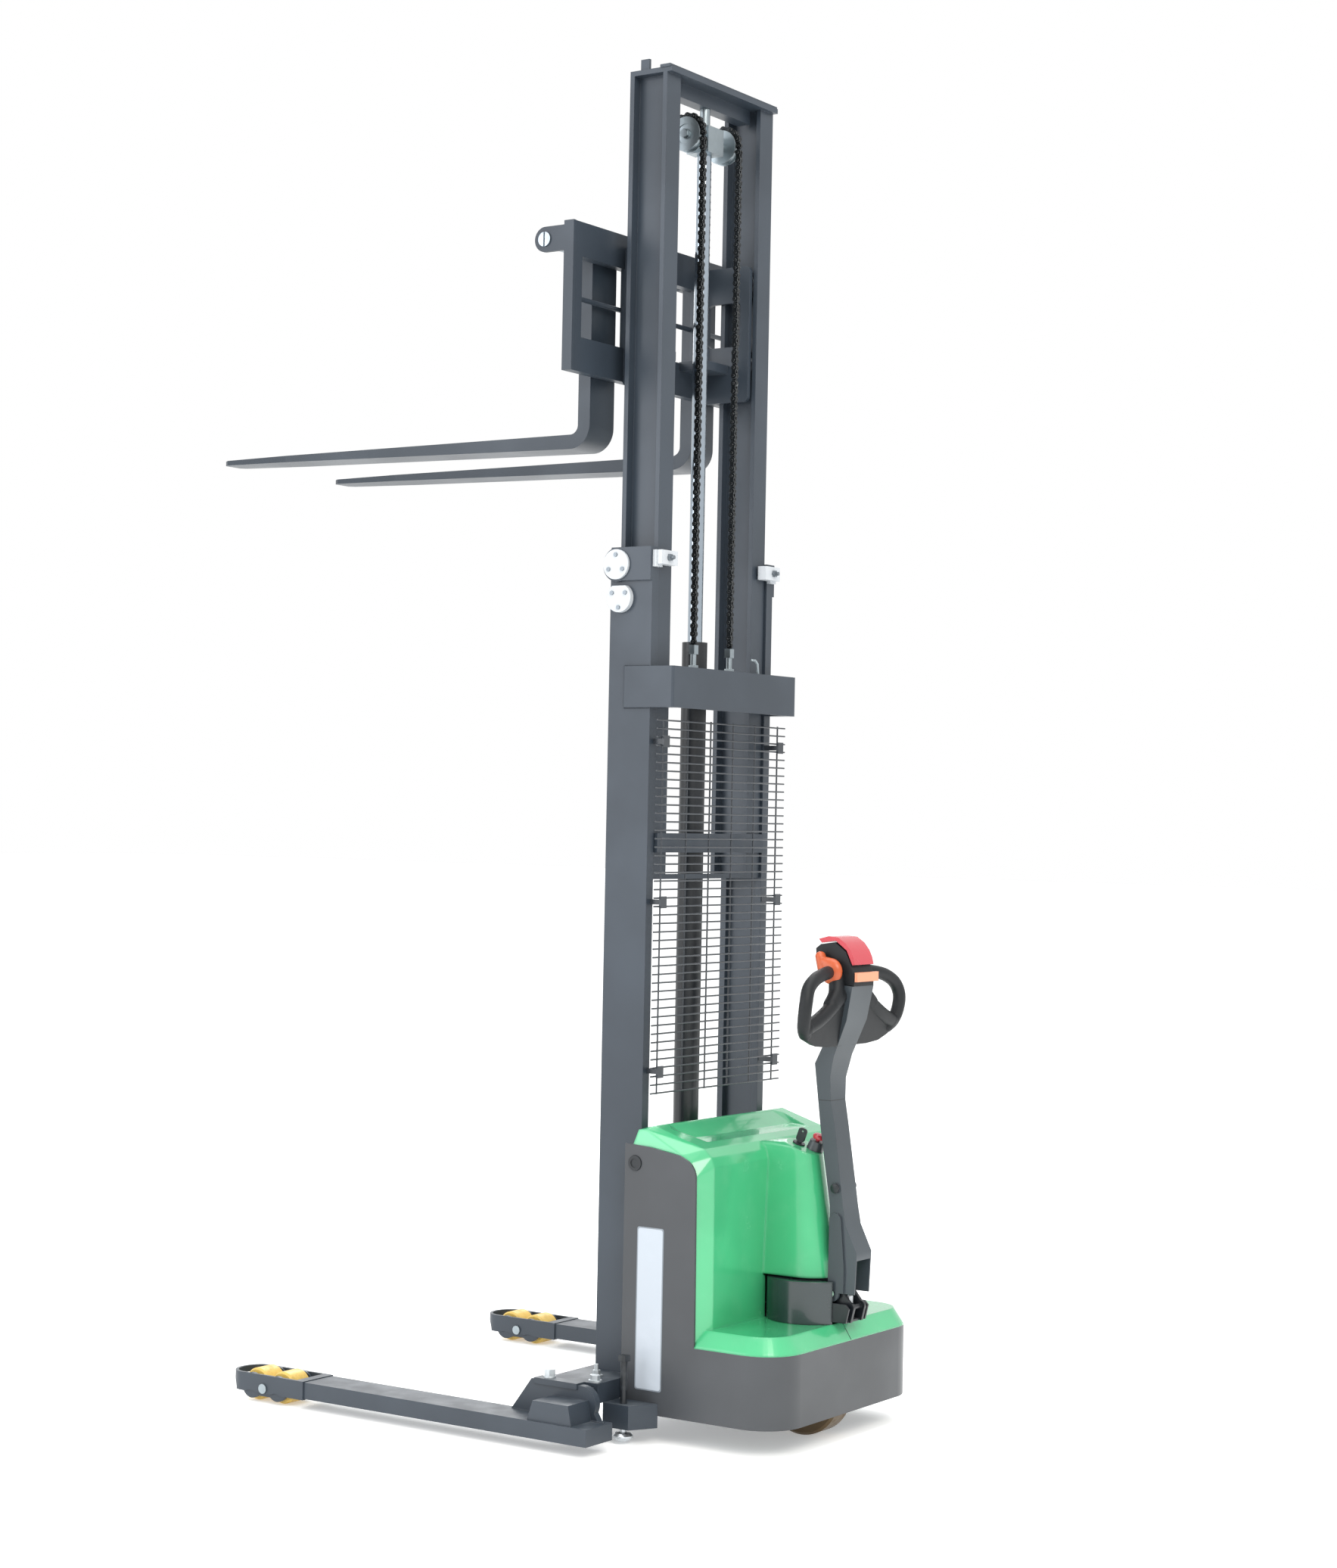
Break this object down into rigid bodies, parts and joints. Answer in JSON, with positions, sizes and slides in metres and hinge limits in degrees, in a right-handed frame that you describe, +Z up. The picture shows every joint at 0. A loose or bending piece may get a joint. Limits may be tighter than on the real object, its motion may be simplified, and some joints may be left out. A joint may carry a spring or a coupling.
{
  "type": "electric stacker",
  "caption": "Pedestrian electric straddle stacker with a telescopic two-stage mast, adjustable forks and legs, a steered drive wheel and a tiller.",
  "frame": {"origin": "centre of the bounding box's base, on the floor, with the mast raised as stored", "axes": "+Z up, forks towards -Y, driver at +Y, +X to the driver's left when looking at the mast"},
  "size_m": [1.148, 1.865, 3.269],
  "materials": {
    "frame_paint": "semi-gloss slate grey powder coat",
    "fork_paint": "satin dark slate paint",
    "shell_grey": "satin dark grey",
    "hood_green": "glossy moulded green",
    "black_steel": "black semi-gloss",
    "white_plastic": "satin white nylon",
    "zinc": "zinc plated",
    "chrome_rod": "hard chrome",
    "roller_steel": "ground steel",
    "chain_steel": "oiled black leaf chain",
    "rocker_paint": "painted steel",
    "load_wheel_pu": "yellow cast polyurethane",
    "drive_wheel_pu": "brown polyurethane tread",
    "dark_gloss": "glossy black moulding",
    "arm_grey": "satin blue-grey",
    "grip_plastic": "textured charcoal",
    "orange_plastic": "satin orange",
    "red_plastic": "satin red",
    "black_plastic": "black moulded",
    "inner_metal": "cast aluminium"
  },
  "bodies": {
    "chassis": {"chassis_frame": "frame_paint", "body_shell": "shell_grey", "hood": "hood_green", "outer_mast": "frame_paint", "rear_crossbeam": "frame_paint", "mesh_guard": "black_steel", "guard_clips": "black_steel", "roller_covers": "white_plastic", "wear_pads": "white_plastic", "mast_bolts": "zinc", "cylinder_barrel": "black_steel", "cylinder_gland": "black_steel", "chain_anchors": "zinc", "battery": "black_plastic", "oil_tank": "black_plastic", "pump_motor": "inner_metal", "controller": "inner_metal", "clamp_bolts": "zinc", "key_switch": "black_plastic", "stop_bezel": "inner_metal", "rear_chains": "chain_steel"},
    "key": {"key": "black_plastic"},
    "stop_button": {"stop_button": "red_plastic"},
    "jack_left": {"jack_left": "black_steel"},
    "jack_right": {"jack_right": "black_steel"},
    "top_rollers": {"top_rollers": "roller_steel"},
    "inner_mast": {"inner_mast": "frame_paint", "lift_rod": "chrome_rod", "crosshead": "zinc", "chain_wraps": "chain_steel", "front_chains": "chain_steel"},
    "chain_pulleys": {"chain_pulleys": "zinc"},
    "bottom_rollers": {"bottom_rollers": "roller_steel"},
    "carriage": {"carriage_frame": "frame_paint", "fork_shaft": "zinc"},
    "upper_rollers": {"upper_rollers": "roller_steel"},
    "lower_rollers": {"lower_rollers": "roller_steel"},
    "fork_left": {"fork_left": "fork_paint"},
    "fork_right": {"fork_right": "fork_paint"},
    "leg_left": {"leg_left": "frame_paint"},
    "leg_right": {"leg_right": "frame_paint"},
    "bogie_left": {"bogie_left": "rocker_paint"},
    "bogie_right": {"bogie_right": "rocker_paint"},
    "wheel_front_left": {"wheel_front_left": "load_wheel_pu"},
    "wheel_rear_left": {"wheel_rear_left": "load_wheel_pu"},
    "wheel_front_right": {"wheel_front_right": "load_wheel_pu"},
    "wheel_rear_right": {"wheel_rear_right": "load_wheel_pu"},
    "turret": {"drive_unit": "black_steel", "ring_cover": "dark_gloss", "tiller_bracket": "black_steel"},
    "drive_wheel": {"drive_wheel": "drive_wheel_pu"},
    "tiller": {"tiller_arm": "arm_grey", "handle": "grip_plastic", "head_cover": "grip_plastic"},
    "throttle": {"throttle": "orange_plastic"},
    "reverse_button": {"reverse_button": "red_plastic"},
    "horn_button": {"horn_button": "orange_plastic"}
  },
  "joints": [
    {"name": "mast_lift", "type": "slide", "parent": "chassis", "child": "inner_mast", "axis": [0, 0, 1], "range_m": [-1.143, 0.357], "deforming": ["rear_chains"]},
    {"name": "carriage_lift", "type": "slide", "parent": "inner_mast", "child": "carriage", "axis": [0, 0, 1], "range_m": [-1.143, 0.357], "deforming": ["front_chains"]},
    {"name": "pulley_spin", "type": "hinge", "parent": "inner_mast", "child": "chain_pulleys", "pos_m": [0, 0.4095, 3.118], "axis": [1, 0, 0], "range_deg": [-450, 1430]},
    {"name": "top_roller_spin", "type": "hinge", "parent": "chassis", "child": "top_rollers", "pos_m": [0, 0.4, 1.99], "axis": [1, 0, 0], "range_deg": [-1600, 510]},
    {"name": "bottom_roller_spin", "type": "hinge", "parent": "inner_mast", "child": "bottom_rollers", "pos_m": [0, 0.3995, 1.368], "axis": [1, 0, 0], "range_deg": [-480, 1510]},
    {"name": "upper_roller_spin", "type": "hinge", "parent": "carriage", "child": "upper_rollers", "pos_m": [0, 0.4, 2.794], "axis": [1, 0, 0], "range_deg": [-510, 1600]},
    {"name": "lower_roller_spin", "type": "hinge", "parent": "carriage", "child": "lower_rollers", "pos_m": [0, 0.4, 2.592], "axis": [1, 0, 0], "range_deg": [-510, 1600]},
    {"name": "fork_left_slide", "type": "slide", "parent": "carriage", "child": "fork_left", "axis": [1, 0, 0], "range_m": [-0.112, 0.16]},
    {"name": "fork_right_slide", "type": "slide", "parent": "carriage", "child": "fork_right", "axis": [1, 0, 0], "range_m": [-0.16, 0.112]},
    {"name": "leg_left_slide", "type": "slide", "parent": "chassis", "child": "leg_left", "axis": [1, 0, 0], "range_m": [-0.07, 0.03]},
    {"name": "leg_right_slide", "type": "slide", "parent": "chassis", "child": "leg_right", "axis": [1, 0, 0], "range_m": [-0.03, 0.07]},
    {"name": "bogie_left_rock", "type": "hinge", "parent": "leg_left", "child": "bogie_left", "pos_m": [-0.514, -0.4425, 0.036], "axis": [1, 0, 0], "range_deg": [-6, 6]},
    {"name": "bogie_right_rock", "type": "hinge", "parent": "leg_right", "child": "bogie_right", "pos_m": [0.514, -0.4425, 0.036], "axis": [1, 0, 0], "range_deg": [-6, 6]},
    {"name": "wheel_front_left_spin", "type": "hinge", "parent": "bogie_left", "child": "wheel_front_left", "pos_m": [-0.514, -0.4835, 0.039], "axis": [1, 0, 0], "continuous": true},
    {"name": "wheel_rear_left_spin", "type": "hinge", "parent": "bogie_left", "child": "wheel_rear_left", "pos_m": [-0.514, -0.4015, 0.039], "axis": [1, 0, 0], "continuous": true},
    {"name": "wheel_front_right_spin", "type": "hinge", "parent": "bogie_right", "child": "wheel_front_right", "pos_m": [0.514, -0.4835, 0.039], "axis": [1, 0, 0], "continuous": true},
    {"name": "wheel_rear_right_spin", "type": "hinge", "parent": "bogie_right", "child": "wheel_rear_right", "pos_m": [0.514, -0.4015, 0.039], "axis": [1, 0, 0], "continuous": true},
    {"name": "steer", "type": "hinge", "parent": "chassis", "child": "turret", "pos_m": [0, 0.7695, 0.103], "axis": [0, 0, 1], "range_deg": [-90, 90]},
    {"name": "drive_spin", "type": "hinge", "parent": "turret", "child": "drive_wheel", "pos_m": [0, 0.7695, 0.103], "axis": [1, 0, 0], "continuous": true},
    {"name": "tiller_tilt", "type": "hinge", "parent": "turret", "child": "tiller", "pos_m": [0, 0.8525, 0.344], "axis": [-1, 0, 0], "range_deg": [0, 80], "stiffness_Nm_per_rad": 60, "springref_deg": -17.19},
    {"name": "throttle_turn", "type": "hinge", "parent": "tiller", "child": "throttle", "pos_m": [0, 0.8375, 1.112], "axis": [1, 0, 0], "range_deg": [-20, 20], "stiffness_Nm_per_rad": 1},
    {"name": "reverse_press", "type": "slide", "parent": "tiller", "child": "reverse_button", "axis": [0, -0.6, -0.8], "range_m": [0, 0.003], "stiffness_N_per_m": 800, "springref_m": -0.001},
    {"name": "horn_press", "type": "slide", "parent": "tiller", "child": "horn_button", "axis": [0, -1, 0], "range_m": [0, 0.003], "stiffness_N_per_m": 600, "springref_m": -0.001},
    {"name": "stop_press", "type": "slide", "parent": "chassis", "child": "stop_button", "axis": [0, -0.342, -0.9397], "range_m": [0, 0.005]},
    {"name": "key_turn", "type": "hinge", "parent": "chassis", "child": "key", "pos_m": [0.004, 0.7335, 0.6821], "axis": [0, 0.342, 0.9397], "range_deg": [0, 90]},
    {"name": "jack_left_screw", "type": "slide", "parent": "chassis", "child": "jack_left", "axis": [0, 0, 1], "range_m": [-0.004, 0.009]},
    {"name": "jack_right_screw", "type": "slide", "parent": "chassis", "child": "jack_right", "axis": [0, 0, 1], "range_m": [-0.004, 0.009]}
  ],
  "couplings": [
    {"joint": "carriage_lift", "follows": "mast_lift", "ratio": 1},
    {"joint": "pulley_spin", "follows": "mast_lift", "rad_per_m": -21.739},
    {"joint": "top_roller_spin", "follows": "mast_lift", "rad_per_m": 24.272},
    {"joint": "bottom_roller_spin", "follows": "mast_lift", "rad_per_m": -22.883},
    {"joint": "upper_roller_spin", "follows": "mast_lift", "rad_per_m": -24.272},
    {"joint": "lower_roller_spin", "follows": "mast_lift", "rad_per_m": -24.272}
  ]
}
